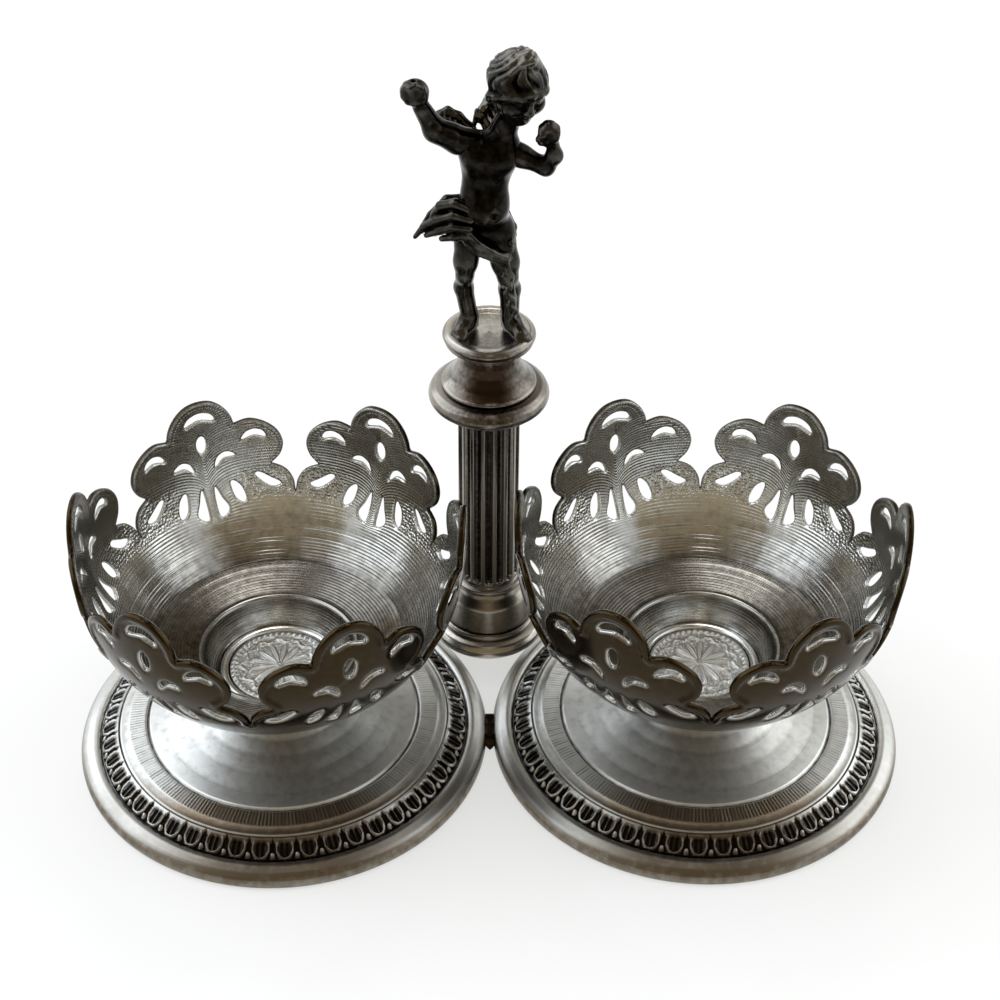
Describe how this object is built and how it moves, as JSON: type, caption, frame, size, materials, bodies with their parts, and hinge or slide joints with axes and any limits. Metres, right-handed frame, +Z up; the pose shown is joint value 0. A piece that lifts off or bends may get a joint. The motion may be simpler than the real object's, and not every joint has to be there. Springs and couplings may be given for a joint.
{
  "type": "salt and pepper stand",
  "caption": "Double salt stand with pierced round bowls on spun feet, joined at the rims, and a fluted column behind them that carries a small winged child figure.",
  "frame": {"origin": "on the table, at the middle of the line between the two feet, under the middle of the whole stand", "axes": "+X from the left bowl to the right bowl, +Y from the bowls to the column behind them, +Z up"},
  "size_m": [0.1404, 0.0698, 0.1183],
  "materials": {
    "plated_sheet": "silver-plated brass, spun and turned, lightly tarnished",
    "bright_plate": "polished silver plate",
    "relief_plate": "cast relief, silver-plated, dark in its hollows",
    "column_plate_metal": "silver plate worn and darkened to grey-brown",
    "figure_patina": "cast metal with a dark brown patina",
    "fastener_steel": "plain steel studs, nuts and washers"
  },
  "bodies": {
    "root": {"foot_rim_left": "bright_plate", "foot_left": "plated_sheet", "leaf_border_left": "relief_plate", "bowl_left": "plated_sheet", "rosette_left": "plated_sheet", "stud_washer_left": "fastener_steel", "stud_nut_left": "fastener_steel", "foot_rim_right": "bright_plate", "foot_right": "plated_sheet", "leaf_border_right": "relief_plate", "bowl_right": "plated_sheet", "rosette_right": "plated_sheet", "stud_washer_right": "fastener_steel", "stud_nut_right": "fastener_steel", "rim_link": "relief_plate", "column_plate": "column_plate_metal", "column_bell": "column_plate_metal", "shaft_collar": "column_plate_metal", "fluted_shaft": "column_plate_metal", "capital_ring": "column_plate_metal", "capital_bell": "column_plate_metal", "top_disc": "column_plate_metal", "tie_rod": "fastener_steel", "tie_washer": "fastener_steel", "tie_nut": "fastener_steel", "figure_body": "figure_patina", "figure_raised_arm": "figure_patina", "figure_bent_arm": "figure_patina", "figure_wing_left": "figure_patina", "figure_wing_right": "figure_patina", "figure_drapery": "figure_patina"}
  },
  "joints": []
}
